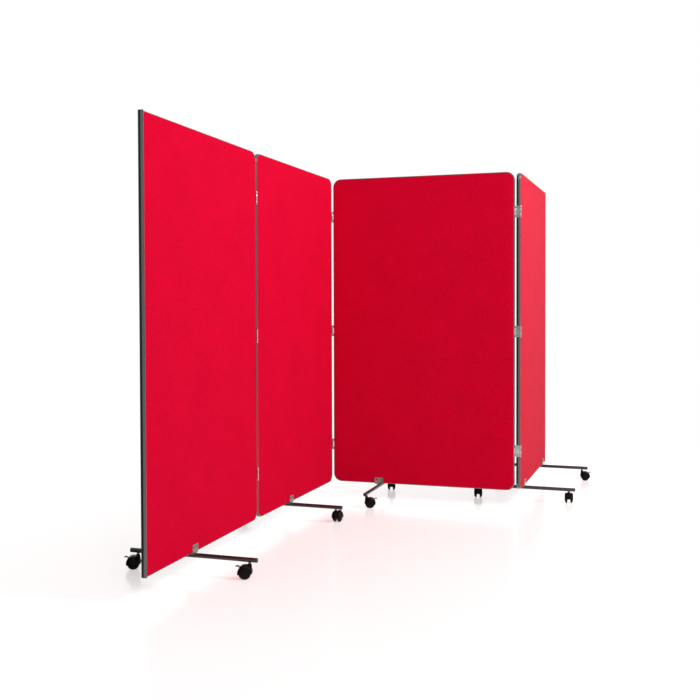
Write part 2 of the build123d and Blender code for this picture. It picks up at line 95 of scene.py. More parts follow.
# ---- the castors ----
CASTORS = range(1, 11)
AXLE_RADIUS = 0.003
HOOD_ROUNDING = 0.0004
LEVER_ROUNDING = 0.0004

# ---- the camera: a lens for a 36 mm sensor, its place and where it looks ----
IMAGE_SIZE = 700
SENSOR = 36.0
FOCAL_PIXELS = 964.73
CENTRE_PIXEL = (350.30, 327.62)
CAMERA_PLACE = Vector((1.3295, -4.9396, 1.1470))
CAMERA_HEADING = math.radians(-17.859)
CAMERA_TILT = math.radians(1.305)
CAMERA_ROLL = math.radians(-0.170)


# ================================================================ helpers

def settings():
    """The scene's own settings for the partition."""
    return bpy.context.scene.partition


def mount(name):
    """One of the record's mounts."""
    return next(m for m in frame["record"]["mounts"] if m["name"] == name)


def joint(name):
    """One of the record's joints."""
    return next(j for j in frame["joints"] if j["name"] == name)


def matrix_from(x, y, z, place):
    """A frame from its three directions and its origin."""
    turned = Matrix((x, y, z)).transposed().to_4x4()
    return Matrix.Translation(place) @ turned


class PanelFrame:
    """Where a panel is: its matrix, width, height, half thickness and corner radii."""

    def __init__(self, number):
        left = mount(f"panel_{number}_left_face")
        right = mount(f"panel_{number}_right_face")
        low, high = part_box(f"panel_{number}_board")
        y = Vector(left["axis"]).normalized()
        x = y.cross(UP)
        middle = (Vector(left["pos_m"]) + Vector(right["pos_m"])) / 2
        self.width = PANEL_WIDTH
        self.height = high.z - low.z
        self.half = (Vector(left["pos_m"]) - Vector(right["pos_m"])).length / 2
        self.radius = {side: CORNER_RADIUS if side in hinged_edges(number) else 0.0 for side in (-1, 1)}
        start = middle - x * (self.width / 2)
        start.z = low.z
        self.matrix = matrix_from(x, y, UP, start)


def castor_matrix(number):
    """A castor's own frame, from its swivel and its axle."""
    swivel = Vector(joint(f"castor_{number}_swivel")["pos_m"])
    axle = joint(f"castor_{number}_roll")
    trail = Vector(axle["pos_m"]) - swivel
    trail.z = 0
    x = trail.normalized()
    return matrix_from(x, UP.cross(x), UP, Vector((swivel.x, swivel.y, 0)))


def new_object(name, data):
    """An object for a mesh, a lamp or a camera, in the scene."""
    made = bpy.data.objects.new(name, data)
    bpy.context.scene.collection.objects.link(made)
    return made


def mesh_from(name, form):
    """A mesh from a bmesh, with its normals outwards."""
    bmesh.ops.recalc_face_normals(form, faces=form.faces)
    mesh = bpy.data.meshes.new(name)
    form.to_mesh(mesh)
    form.free()
    return mesh


def bridge(form, rings):
    """Faces between closed rings of vertices, from each ring to the next."""
    for low, high in zip(rings, rings[1:]):
        for corners in zip(low, low[1:] + low[:1], high[1:] + high[:1], high):
            form.faces.new(corners)


def capped_mesh(name, form, rings):
    """A mesh of closed rings of vertices, with a face across both ends."""
    bridge(form, rings)
    form.faces.new(rings[0])
    form.faces.new(rings[-1])
    return mesh_from(name, form)


def smooth(mesh, degrees):
    """Shades a mesh smoothly across every edge that is gentler than an angle."""
    mesh.polygons.foreach_set("use_smooth", [True] * len(mesh.polygons))
    form = bmesh.new()
    form.from_mesh(mesh)
    limit = math.radians(degrees)
    for edge in form.edges:
        edge.smooth = len(edge.link_faces) == 2 and edge.calc_face_angle(0.0) < limit
    form.to_mesh(mesh)
    form.free()


def hinge_heights(panel):
    """The middles of a panel's three hinges, above the board's bottom edge."""
    return (HINGE_INSET, panel.height / 2, panel.height - HINGE_INSET)


def hinged_edges(number):
    """Which of a panel's upright edges carry hinges: -1 the start edge, 1 the end edge."""
    edges = []
    if number > PANELS[0]:
        edges.append(-1)
    if number < PANELS[-1]:
        edges.append(1)
    return edges


# ================================================================ node trees

def group_tree(name, kind, inputs, outputs):
    """A node group with named inputs and outputs, and its two end nodes."""
    tree = bpy.data.node_groups.new(name, kind)
    for label, socket_kind, *default in inputs:
        socket = tree.interface.new_socket(label, in_out="INPUT", socket_type="NodeSocket" + socket_kind)
        if default:
            socket.default_value = default[0]
    for label, socket_kind in outputs:
        tree.interface.new_socket(label, in_out="OUTPUT", socket_type="NodeSocket" + socket_kind)
    return tree, tree.nodes.new("NodeGroupInput"), tree.nodes.new("NodeGroupOutput")


def connect(tree, node, values):
    """Gives a node's input sockets values or links."""
    for key, value in values.items():
        if isinstance(value, bpy.types.NodeSocket):
            tree.links.new(value, node.inputs[key])
        else:
            node.inputs[key].default_value = value


def add(tree, kind, values=None, **options):
    """A node with its options set and its input sockets given values or links."""
    made = tree.nodes.new(kind)
    for key, value in options.items():
        setattr(made, key, value)
    connect(tree, made, values or {})
    return made


def maths(tree, operation, first, second):
    """The result of a Math node."""
    return add(tree, "ShaderNodeMath", {0: first, 1: second}, operation=operation).outputs[0]


def vector_maths(tree, operation, first, second):
    """The vector that a Vector Math node gives. What SCALE takes second is a number."""
    values = {0: first, "Scale" if operation == "SCALE" else 1: second}
    return add(tree, "ShaderNodeVectorMath", values, operation=operation).outputs["Vector"]


def along(tree, vector, direction):
    """How far a vector points along a direction."""
    values = {0: vector, 1: direction}
    return add(tree, "ShaderNodeVectorMath", values, operation="DOT_PRODUCT").outputs["Value"]


def map_range(tree, value, source=(0.0, 1.0), target=(0.0, 1.0), **options):
    """A value mapped from one range to another and kept inside it."""
    values = {
        "Value": value,
        "From Min": source[0], "From Max": source[1],
        "To Min": target[0], "To Max": target[1],
    }
    return add(tree, "ShaderNodeMapRange", values, **options).outputs["Result"]


def clouds(tree, vector, scale, detail, output="Fac", **values):
    """A noise texture's result."""
    values.update({"Vector": vector, "Scale": scale, "Detail": detail})
    return add(tree, "ShaderNodeTexNoise", values).outputs[output]


# ================================================================ shader parts

CLOUD_DETAIL = 4.0
SPECK_DETAIL = 2.0
NOISE_GAIN = 4.0  # brings a noise's narrow range round its middle to about -1 to 1
SCRATCH_STRETCH = (1.0, 1.0, 14.0)
SCRATCH_TURN = (0.3, 0.5, 0.2)
SCRATCH_DETAIL = 6.0
SCRATCH_ROUGHNESS = 0.7
SMUDGE_SCALE = 22.0
SMUDGE_DETAIL = 3.0
LOOP_WANDER_SCALE = 260.0
LOOP_WANDER_DETAIL = 2.0
LOOP_RANDOMNESS = 0.75
LOOP_SHADE_REACH = (0.15, 0.75)  # from a loop's crown to the painted shade between loops


def tint_group():
    """Soft variation of a colour: large clouds and fine specks."""
    tree, enter, leave = group_tree(
        "Uneven Tint", "ShaderNodeTree",
        [
            ("Vector", "Vector"),
            ("Colour", "Color", (1, 1, 1, 1)),
            ("Cloud Scale", "Float", 8.0),
            ("Cloud Amount", "Float", 0.08),
            ("Speck Scale", "Float", 400.0),
            ("Speck Amount", "Float", 0.08),
        ],
        [("Colour", "Color")],
    )
    sources = enter.outputs
    shifts = []
    for part, detail in (("Cloud", CLOUD_DETAIL), ("Speck", SPECK_DETAIL)):
        level = clouds(tree, sources["Vector"], sources[part + " Scale"], detail)
        centred = maths(tree, "SUBTRACT", level, 0.5)
        shifts.append(maths(tree, "MULTIPLY", centred, sources[part + " Amount"]))
    shift = maths(tree, "MULTIPLY", maths(tree, "ADD", *shifts), NOISE_GAIN)
    gain = maths(tree, "ADD", shift, 1.0)
    connect(tree, leave, {"Colour": vector_maths(tree, "SCALE", sources["Colour"], gain)})
    return tree


def scuff_group():
    """Fine handling marks, which are long thin scratches and smudges, as roughness."""
    tree, enter, leave = group_tree(
        "Handling Marks", "ShaderNodeTree",
        [
            ("Vector", "Vector"),
            ("Scratch Scale", "Float", 60.0),
            ("Roughness", "Float", 0.4),
            ("Roughness Spread", "Float", 0.12),
        ],
        [("Roughness", "Float")],
    )
    sources = enter.outputs
    stretched = add(tree, "ShaderNodeMapping", {
        "Vector": sources["Vector"], "Scale": SCRATCH_STRETCH, "Rotation": SCRATCH_TURN,
    })
    scratch = clouds(
        tree, stretched.outputs["Vector"], sources["Scratch Scale"], SCRATCH_DETAIL,
        Roughness=SCRATCH_ROUGHNESS,
    )
    smudge = clouds(tree, sources["Vector"], SMUDGE_SCALE, SMUDGE_DETAIL)
    centred = maths(tree, "SUBTRACT", maths(tree, "ADD", scratch, smudge), 1.0)
    shift = maths(tree, "MULTIPLY", centred, sources["Roughness Spread"])
    rough = maths(tree, "ADD", maths(tree, "MULTIPLY", shift, NOISE_GAIN / 2), sources["Roughness"])
    connect(tree, leave, {"Roughness": rough})
    return tree


def grain_group():
    """The fine pebble of moulded plastic or the orange peel of enamel, as height."""
    tree, enter, leave = group_tree(
        "Moulded Grain", "ShaderNodeTree",
        [("Vector", "Vector"), ("Scale", "Float", 900.0)],
        [("Height", "Float")],
    )
    values = {"Vector": enter.outputs["Vector"], "Scale": enter.outputs["Scale"]}
    cells = add(tree, "ShaderNodeTexVoronoi", values, feature="SMOOTH_F1")
    connect(tree, leave, {"Height": cells.outputs["Distance"]})
    return tree


def loop_group():
    """Looped pile: rows of small round loops, pushed about a little, with painted shade between them and a painted
    highlight on their crowns.
    """
    tree, enter, leave = group_tree(
        "Looped Pile", "ShaderNodeTree",
        [("Vector", "Vector"), ("Loop Size", "Float", 0.0019), ("Unevenness", "Float", 0.0006)],
        [("Height", "Float"), ("Shade", "Float")],
    )
    sources = enter.outputs
    wander = clouds(tree, sources["Vector"], LOOP_WANDER_SCALE, LOOP_WANDER_DETAIL, output="Color")
    centred = vector_maths(tree, "SUBTRACT", wander, (0.5, 0.5, 0.5))
    push = vector_maths(tree, "SCALE", centred, sources["Unevenness"])
    loops = add(tree, "ShaderNodeTexVoronoi", {
        "Vector": vector_maths(tree, "ADD", sources["Vector"], push),
        "Scale": maths(tree, "DIVIDE", 1.0, sources["Loop Size"]),
        "Randomness": LOOP_RANDOMNESS,
    })
    distance = loops.outputs["Distance"]
    connect(tree, leave, {
        "Height": maths(tree, "SUBTRACT", 1.0, distance),
        "Shade": map_range(tree, distance, source=LOOP_SHADE_REACH),
    })
    return tree


SHADER_PARTS = {
    "tint": tint_group,
    "scuffs": scuff_group,
    "grain": grain_group,
    "loops": loop_group,
}


def shader_part(tree, key, values):
    """One of the shared shader groups, placed in a material. Each group is built once."""
    name = "partition_" + key
    group = bpy.data.node_groups.get(name)
    if group is None:
        group = SHADER_PARTS[key]()
        group.name = name
    return add(tree, "ShaderNodeGroup", values, node_tree=group)


# ================================================================ materials

def new_material(name, coordinates, constants):
    """A material with a Principled shader, the coordinates its patterns read and its constants."""
    material = bpy.data.materials.new(name)
    material.use_nodes = True
    tree = material.node_tree
    tree.nodes.clear()
    shader = add(tree, "ShaderNodeBsdfPrincipled", constants)
    leave = add(tree, "ShaderNodeOutputMaterial", {"Surface": shader.outputs["BSDF"]})
    where = tree.nodes.new("ShaderNodeTexCoord").outputs[coordinates]
    return material, shader, leave, where


def bump(tree, height, distance, strength):
    """The normal that a height gives."""
    return add(tree, "ShaderNodeBump", {
        "Height": height, "Distance": distance, "Strength": strength,
    }).outputs["Normal"]


CLOTH_CONSTANTS = {
    "Roughness": 0.95, "Specular IOR Level": 0.03,
    "Sheen Roughness": 0.15, "Sheen Tint": (1.0, 0.42, 0.52, 1.0),
}
CLOTH_UNEVENNESS = {"Cloud Scale": 5.0, "Cloud Amount": 0.05, "Speck Scale": 160.0, "Speck Amount": 0.10}
LOOP_SHADES = (1.12, 0.55)  # painted highlight on a loop's crown and painted shade between the loops
LOOP_DEPTH = 0.0008
LOOP_STRENGTH = 0.7
PAINTED_SHEEN_RANGE = (0.70, 0.95)  # facing shares over which the painted sheen rises from nothing to its strongest
PAINTED_SHEEN_TINT = (0.25, 0.27, 0.27)  # painted sheen: the pale pink added to the colour where the cloth is seen edge-on


def cloth_material():
    """Red looped nylon: small loops with painted shade between them, a soft sheen, slightly uneven dye and a
    painted sheen that pales the colour where the cloth is seen edge-on.
    """
    wanted = settings().cloth
    material, shader, _, where = new_material(
        "red_loop_cloth", "UV", {**CLOTH_CONSTANTS, "Sheen Weight": wanted.sheen},
    )
    tree = material.node_tree
    loops = shader_part(tree, "loops", {"Vector": where, "Loop Size": wanted.loop_size})
    tint = shader_part(tree, "tint", {"Vector": where, "Colour": (*wanted.colour, 1.0), **CLOTH_UNEVENNESS})
    # painted shade between the loops and a painted highlight on their crowns, multiplied into the colour
    shade = map_range(tree, loops.outputs["Shade"], target=LOOP_SHADES)
    shaded = vector_maths(tree, "SCALE", tint.outputs["Colour"], shade)
    # painted sheen: the colour is made paler pink where the cloth is seen edge-on, as a lit sheen would look
    facing = add(tree, "ShaderNodeLayerWeight", {"Blend": 0.5}).outputs["Facing"]
    painted_sheen_share = map_range(tree, facing, source=PAINTED_SHEEN_RANGE, target=(0.0, wanted.painted_sheen_amount))
    painted_sheen = vector_maths(tree, "SCALE", PAINTED_SHEEN_TINT, painted_sheen_share)
    connect(tree, shader, {
        "Base Color": vector_maths(tree, "ADD", shaded, painted_sheen),
        "Normal": bump(tree, loops.outputs["Height"], LOOP_DEPTH, LOOP_STRENGTH),
    })
    return material


CLOUD_SCALE = 9.0
SPECK_SCALE = 700.0
GRAIN_STRENGTH = 0.6
BOARD_COLOUR = (0.42, 0.29, 0.17)
# The hard finishes. Each has the material's name, its colour or the setting that holds it,
# its roughness and how far that varies, the scale and depth of its grain, how uneven its
# colour is, and the shader's constants.
HARD_FINISHES = {
    # the edge moulding, a satin grey plastic
    "moulding": (
        "edge_moulding", "moulding.colour", (0.26, 0.03), (1300.0, 0.00001), 0.03,
        {"Specular IOR Level": 1.0, "Coat Weight": 0.7, "Coat Roughness": 0.2},
    ),
    # the hinges' zinc plate, bright and lightly clouded, and their duller screws
    "steel": ("hinge_steel", "hinge.colour", (0.24, 0.12), (500.0, 0.00002), 0.10, {"Metallic": 1.0}),
    "screw": ("screw_steel", "hinge.screw_colour", (0.36, 0.16), (900.0, 0.00002), 0.12, {"Metallic": 1.0}),
    # the cross rails' dark enamel, glossy enough to mirror the cloth, and their end plugs
    "rail": (
        "rail_enamel", "foot.rail_colour", (0.26, 0.08), (420.0, 0.00003), 0.06,
        {"Coat Weight": 0.35, "Coat Roughness": 0.18},
    ),
    "plug": ("rail_plug", "foot.plug_colour", (0.45, 0.10), (1500.0, 0.00004), 0.06, {}),
    # the saddle brackets' metallic enamel and their blackened bolts
    "bracket": (
        "bracket_enamel", "foot.bracket_colour", (0.27, 0.08), (520.0, 0.00003), 0.06, {"Metallic": 1.0},
    ),
    "bolt": ("bolt_steel", "foot.bolt_colour", (0.32, 0.12), (700.0, 0.00002), 0.10, {"Metallic": 0.7}),
    # the castors' black nylon, dustier on the wheels
    "nylon": (
        "castor_nylon", "castor.colour", (0.34, 0.10), (1100.0, 0.00003), 0.06,
        {"Specular IOR Level": 0.10},
    ),
    "wheel": (
        "wheel_nylon", "castor.wheel_colour", (0.40, 0.12), (900.0, 0.00003), 0.14,
        {"Specular IOR Level": 0.10},
    ),
    # the raw core board, hidden behind cloth and moulding
    "board": ("board_core", BOARD_COLOUR, (0.8, 0.08), (300.0, 0.0002), 0.06, {}),
}


def hard_finish(name, colour, roughness, grain, unevenness, constants):
    """A hard finish: an almost even colour, handling marks and a fine grain."""
    if isinstance(colour, str):
        colour = settings().path_resolve(colour)
    material, shader, _, where = new_material(name, "Object", constants)
    tree = material.node_tree
    tint = shader_part(tree, "tint", {
        "Vector": where, "Colour": (*colour, 1.0), "Cloud Scale": CLOUD_SCALE, "Cloud Amount": unevenness,
        "Speck Scale": SPECK_SCALE, "Speck Amount": unevenness,
    })
    marks = shader_part(tree, "scuffs", {
        "Vector": where, "Roughness": roughness[0], "Roughness Spread": roughness[1],
    })
    pebble = shader_part(tree, "grain", {"Vector": where, "Scale": grain[0]})
    connect(tree, shader, {
        "Base Color": tint.outputs["Colour"],
        "Roughness": marks.outputs["Roughness"],
        "Normal": bump(tree, pebble.outputs["Height"], grain[1], GRAIN_STRENGTH),
    })
    return material


MATERIALS = {}


def finish_of(key):
    """A material by its key, made when it is first asked for."""
    if key not in MATERIALS:
        MATERIALS[key] = cloth_material() if key == "cloth" else hard_finish(*HARD_FINISHES[key])
    return MATERIALS[key]


WELD_DISTANCE = 0.00001
FLAT_ANGLE = math.radians(1)  # faces that meet at less than this are one flat face
SHARP_ANGLE = math.radians(38)  # edges sharper than this are rounded


def paint_node(name, key, rounding=0.0):
    """Gives a CAD node its finish and takes the sharpness off its edges."""
    node = frame["nodes"][name]
    node.data.materials.clear()
    node.data.materials.append(finish_of(key))
    if rounding:
        joined = node.modifiers.new("joined", "WELD")
        joined.merge_threshold = WELD_DISTANCE
        flattened = node.modifiers.new("flattened", "DECIMATE")
        flattened.decimate_type = "DISSOLVE"
        flattened.angle_limit = FLAT_ANGLE
        rounded = node.modifiers.new("rounded", "BEVEL")
        rounded.width = rounding
        rounded.segments = 2
        rounded.limit_method = "ANGLE"
        rounded.angle_limit = SHARP_ANGLE


# ================================================================ geometry nodes

def geometry_tree(name, inputs):
    """A geometry node group with a geometry in and out, a finish and more named inputs."""
    inputs = [("Geometry", "Geometry"), *inputs, ("Finish", "Material")]
    return group_tree(name, "GeometryNodeTree", inputs, [("Geometry", "Geometry")])


def end_tree(tree, enter, leave, geometry):
    """Ends a geometry tree with plain geometry in the tree's finish."""
    real = add(tree, "GeometryNodeRealizeInstances", {"Geometry": geometry})
    painted = add(tree, "GeometryNodeSetMaterial", {
        "Geometry": real.outputs["Geometry"], "Material": enter.outputs["Finish"],
    })
    connect(tree, leave, {"Geometry": painted.outputs["Geometry"]})
    return tree


def repeat_tree():
    """Copies one part onto every point, turned as the point's own rotation says."""
    tree, enter, leave = geometry_tree("Repeated Parts", [("Part", "Object")])
    part = add(tree, "GeometryNodeObjectInfo", {"Object": enter.outputs["Part"]})
    turn = add(tree, "GeometryNodeInputNamedAttribute", {"Name": "turn"}, data_type="FLOAT_VECTOR")
    turned = add(tree, "FunctionNodeEulerToRotation", {"Euler": turn.outputs["Attribute"]})
    placed_parts = add(tree, "GeometryNodeInstanceOnPoints", {
        "Points": enter.outputs["Geometry"],
        "Instance": part.outputs["Geometry"],
        "Rotation": turned.outputs["Rotation"],
    })
    return end_tree(tree, enter, leave, placed_parts.outputs["Instances"])


def sweep_tree():
    """Runs a section along flat paths, with its height square to the paths' plane."""
    tree, enter, leave = geometry_tree("Swept Moulding", [("Section", "Object")])
    section = add(tree, "GeometryNodeObjectInfo", {"Object": enter.outputs["Section"]})
    profile = add(tree, "GeometryNodeMeshToCurve", {"Mesh": section.outputs["Geometry"]})
    paths = add(tree, "GeometryNodeMeshToCurve", {"Mesh": enter.outputs["Geometry"]})
    upright = add(tree, "GeometryNodeSetCurveNormal", {"Curve": paths.outputs["Curve"]}, mode="Z_UP")
    swept = add(tree, "GeometryNodeCurveToMesh", {
        "Curve": upright.outputs["Curve"], "Profile Curve": profile.outputs["Curve"], "Fill Caps": True,
    })
    return end_tree(tree, enter, leave, swept.outputs["Mesh"])


TREES = {"repeat": repeat_tree, "sweep": sweep_tree}


def run_tree(name, carrier_mesh, key, values):
    """The plain mesh that a geometry tree makes of a carrier mesh. The carrier is removed."""
    tree = bpy.data.node_groups.get("partition_" + key)
    if tree is None:
        tree = TREES[key]()
        tree.name = "partition_" + key
    carrier = new_object(name + "_carrier", carrier_mesh)
    modifier = carrier.modifiers.new("parts", "NODES")
    modifier.node_group = tree
    sockets = {item.name: item.identifier for item in tree.interface.items_tree if item.in_out == "INPUT"}
    for label, value in values.items():
        modifier[sockets[label]] = value
    bpy.context.view_layer.update()
    evaluated = carrier.evaluated_get(bpy.context.evaluated_depsgraph_get())
    mesh = bpy.data.meshes.new_from_object(evaluated)
    mesh.name = name
    bpy.data.objects.remove(carrier)
    return mesh


def repeated(name, part, places, key):
    """One mesh with a part at every place: a list of matrices without scale."""
    carrier = bpy.data.meshes.new(name + "_points")
    carrier.from_pydata([tuple(place.translation) for place in places], [], [])
    turns = carrier.attributes.new("turn", "FLOAT_VECTOR", "POINT")
    for item, place in zip(turns.data, places):
        item.vector = tuple(place.to_euler())
    mesh = run_tree(name, carrier, "repeat", {"Part": part, "Finish": finish_of(key)})
    return new_object(name, mesh)


# ================================================================ panels: cloth and moulding

ARC_STEPS = 10
CLOTH_ROWS = 42
CLOTH_COLUMNS = 24
CLOTH_INSET = 0.0012
CLOTH_WAVES = 7.0  # the scale of the dips in the cloth
# The rolled edge of a sheet: how far in from its edge and how far below its face.
CLOTH_ROLL = ((0.0005, 0.00012), (0.00012, 0.0005), (0.0, 0.0010))
# The moulding's section, one half of it: out from the board's edge, then across, from the
# face outwards for the lip and the shoulder and from the middle for the crown.
MOULDING_LIP = ((0.0, -0.0010), (-0.0009, -0.0002), (-0.0011, 0.0002), (-0.0008, 0.0005), (0.0002, 0.0005))
MOULDING_SHOULDER = ((0.0010, 0.0002), (0.0015, -0.0010), (0.0013, -0.0015), (0.0017, -0.0019))
MOULDING_CROWN = ((0.0038, 0.0021), (0.0041, 0.0014), (0.0042, 0.0006))
MOULDING_SMOOTH_ANGLE = 32
STRIP_OVERRUN = 0.0015


def corner_rows(radius, height):
    """Heights across a rounded rectangle and how far a rounded side is inset at each."""
    corner = []
    for step in range(ARC_STEPS + 1):
        angle = math.pi / 2 * step / ARC_STEPS
        corner.append((radius * (1 - math.cos(angle)), radius * (1 - math.sin(angle))))
    straight = height - 2 * radius
    middle = [(radius + straight * step / CLOTH_ROWS, 0.0) for step in range(1, CLOTH_ROWS)]
    return corner + middle + [(height - z, inset) for z, inset in reversed(corner)]


def ring_of(rows):
    """The vertices round the outside of a grid of rows, in order."""
    right = [row[-1] for row in rows[1:-1]]
    left = [row[0] for row in reversed(rows[1:-1])]
    return rows[0] + right + list(reversed(rows[-1])) + left


def edge_direction(x, z, panel):
    """The way out of a panel's outline at a point near its edge, longer at a square corner."""
    radius = panel.radius[-1 if x < panel.width / 2 else 1]
    reach = radius or 2 * CLOTH_INSET
    near_x = min(max(x, reach), panel.width - reach)
    near_z = min(max(z, reach), panel.height - reach)
    away = Vector((x - near_x, 0, z - near_z))
    return away.normalized() if radius else away / max(abs(away.x), abs(away.z))


def cloth_face(form, panel):
    """The flat of one sheet as a grid of vertices that follows its rounded corners."""
    rows = []
    for z, side_inset in corner_rows(CORNER_RADIUS - CLOTH_INSET, panel.height - 2 * CLOTH_INSET):
        start = CLOTH_INSET + (side_inset if panel.radius[-1] else 0.0)
        end = CLOTH_INSET + (side_inset if panel.radius[1] else 0.0)
        span = panel.width - start - end
        xs = [start + span * step / CLOTH_COLUMNS for step in range(CLOTH_COLUMNS + 1)]
        rows.append([form.verts.new((x, 0, z + CLOTH_INSET)) for x in xs])
    for low, high in zip(rows, rows[1:]):
        for a, b, c, d in zip(low, low[1:], high[1:], high):
            form.faces.new((a, b, c, d))
    for row in rows[1:-1]:
        for vertex in row[1:-1]:
            vertex.co.y = -abs(noise.noise(vertex.co * CLOTH_WAVES)) * settings().cloth.wave_height
    return ring_of(rows)


def cloth_mesh(name, panel, side):
    """One sheet of cloth: almost flat, rolled over at its edge into the moulding."""
    form = bmesh.new()
    ring = cloth_face(form, panel)
    edge = [(vertex.co.copy(), edge_direction(vertex.co.x, vertex.co.z, panel)) for vertex in ring]
    for out, down in CLOTH_ROLL:
        drop = Vector((0, -down, 0))
        lower = [form.verts.new(place + way * (CLOTH_INSET - out) + drop) for place, way in edge]
        bridge(form, [ring, lower])
        ring = lower
    form.faces.new(ring)
    for vertex in form.verts:
        vertex.co.y = side * (panel.half + vertex.co.y)
    flat = form.loops.layers.uv.new("cloth")
    for face in form.faces:
        for loop in face.loops:
            loop[flat].uv = (loop.vert.co.x, loop.vert.co.z)
    return mesh_from(name, form)


def make_cloth(number):
    """Both sheets of one panel."""
    panel = PanelFrame(number)
    for side_name, side in SIDES.items():
        name = f"panel_{number}_cloth_{side_name}"
        mesh = cloth_mesh(name, panel, side)
        mesh.transform(panel.matrix)
        smooth(mesh, SMOOTH_ANGLE)
        mesh.materials.append(finish_of("cloth"))
        sheet = new_object(name, mesh)
        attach(sheet, f"panel_{number}")
        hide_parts(f"panel_{number}_fabric")


def arc(centre_x, centre_y, start):
    """Points of a quarter turn of the panel's corner radius."""
    points = []
    for step in range(ARC_STEPS + 1):
        angle = start + math.pi / 2 * step / ARC_STEPS
        x, y = CORNER_RADIUS * math.cos(angle), CORNER_RADIUS * math.sin(angle)
        points.append((centre_x + x, centre_y + y))
    return points


def side_runs(panel, hinged):
    """The moulding up a panel's end edge, seen flat, in stretches cut at the hinges.

    A free edge has a straight strip of its own, cut off square a little past both corners.
    """
    width, height = panel.width, panel.height
    if not hinged:
        past = TRIM_BULGE + STRIP_OVERRUN
        return [[(width, 0.0)], [(width, -past), (width, height + past)], [(width, height)]]
    corner = width - CORNER_RADIUS
    runs = [arc(corner, CORNER_RADIUS, -math.pi / 2)]
    for middle in hinge_heights(panel):
        runs[-1].append((width, middle - LEAF_SEAT / 2))
        runs.append([(width, middle + LEAF_SEAT / 2)])
    runs[-1] += arc(corner, height - CORNER_RADIUS, 0.0)
    return runs


def moulding_runs(number, panel):
    """The stretches of a panel's outline that carry moulding, seen flat."""
    edges = hinged_edges(number)
    runs = side_runs(panel, 1 in edges)
    # the start edge is the same, turned half round about the panel's middle
    turned = [[(panel.width - x, panel.height - y) for x, y in run] for run in side_runs(panel, -1 in edges)]
    runs[-1] += turned[0]
    runs += turned[1:]
    last = runs.pop()
    runs[0] = last + runs[0]
    return runs


def moulding_section(panel):
    """The moulding's section as an object: out along X, across the panel along Y."""
    half = [(out, panel.half + across) for out, across in MOULDING_LIP + MOULDING_SHOULDER]
    half += list(MOULDING_CROWN)
    points = half + [(out, -across) for out, across in reversed(half)]
    mesh = bpy.data.meshes.new("moulding_section")
    links = [(step, (step + 1) % len(points)) for step in range(len(points))]
    mesh.from_pydata([(out, across, 0.0) for out, across in points], links, [])
    return new_object("moulding_section", mesh)


def make_moulding(number):
    """The edge moulding of one panel, swept round its outline."""
    panel = PanelFrame(number)
    name = f"panel_{number}_moulding"
    points, links = [], []
    for run in moulding_runs(number, panel):
        first = len(points)
        points += [(x, y, 0.0) for x, y in run]
        links += [(first + step, first + step + 1) for step in range(len(run) - 1)]
    carrier = bpy.data.meshes.new(name + "_path")
    carrier.from_pydata(points, links, [])
    section = moulding_section(panel)
    mesh = run_tree(name, carrier, "sweep", {"Section": section, "Finish": finish_of("moulding")})
    bpy.data.objects.remove(section)
    lying_down = Matrix(((1, 0, 0, 0), (0, 0, -1, 0), (0, 1, 0, 0), (0, 0, 0, 1)))
    mesh.transform(panel.matrix @ lying_down)
    smooth(mesh, MOULDING_SMOOTH_ANGLE)
    moulding = new_object(name, mesh)
    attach(moulding, f"panel_{number}")
    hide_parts(f"panel_{number}_edge_trim")


# ================================================================ small turned parts

def lathe(name, profile, steps):
    """A solid of revolution about Z from (radius, height) points that start and end on the axis."""
    form = bmesh.new()
    rings = []
    for radius, height in profile:
        if radius == 0:
            rings.append([form.verts.new((0, 0, height))])
            continue
        turns = [2 * math.pi * step / steps for step in range(steps)]
        rings.append([form.verts.new((radius * math.cos(a), radius * math.sin(a), height)) for a in turns])
    for low, high in zip(rings, rings[1:]):
        for step in range(steps):
            after = (step + 1) % steps
            turns = ((low, step), (low, after), (high, after), (high, step))
            corners = [ring[at % len(ring)] for ring, at in turns]
            form.faces.new(list(dict.fromkeys(corners)))
    return mesh_from(name, form)


def template(name, mesh, degrees=SMOOTH_ANGLE):
    """A part that only gets copied: smooth, in the scene, and removed when its copies are made."""
    smooth(mesh, degrees)
    return new_object(name, mesh)


def star(points, outer, inner, height, form):
    """A ring of vertices that alternates between two radii, such as a cross or a hexagon."""
    ring = []
    for step in range(points):
        radius = outer if step % 2 == 0 else inner
        angle = 2 * math.pi * step / points
        ring.append(form.verts.new((radius * math.cos(angle), radius * math.sin(angle), height)))
    return ring


HEAD_STEPS = 24
RECESS_TAPER = 0.85  # the recess's floor as a share of its mouth


def recessed_head(name, profile, recess):
    """A round head with a driver recess in its top.

    The profile is (radius, height) from its foot to the rim of its top, and the recess is
    (points, outer radius, inner radius, height of its floor).
    """
    form = bmesh.new()
    rings = [star(HEAD_STEPS, radius, radius, height, form) for radius, height in profile]
    bridge(form, rings)
    form.faces.new(rings[0])
    points, outer, inner, floor = recess
    lip = star(points, outer, inner, profile[-1][1], form)
    pit = star(points, outer * RECESS_TAPER, inner * RECESS_TAPER, floor, form)
    bridge(form, [lip, pit])
    form.faces.new(pit)
    top = rings[-1] + lip
    rim = [edge for edge in form.edges if edge.is_boundary and all(vertex in top for vertex in edge.verts)]
    bmesh.ops.triangle_fill(form, edges=rim, use_beauty=True)
    return mesh_from(name, form)


def placed(positions, turn):
    """Matrices at positions, all turned the same way."""
    return [Matrix.Translation(position) @ turn.to_4x4() for position in positions]


def copies(name, template_mesh, places, key, body):
    """Copies of a small part on one body, as one piece."""
    part = template(name + "_part", template_mesh)
    made = repeated(name, part, places, key)
    bpy.data.objects.remove(part)
    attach(made, body)


# ================================================================ hinge fittings

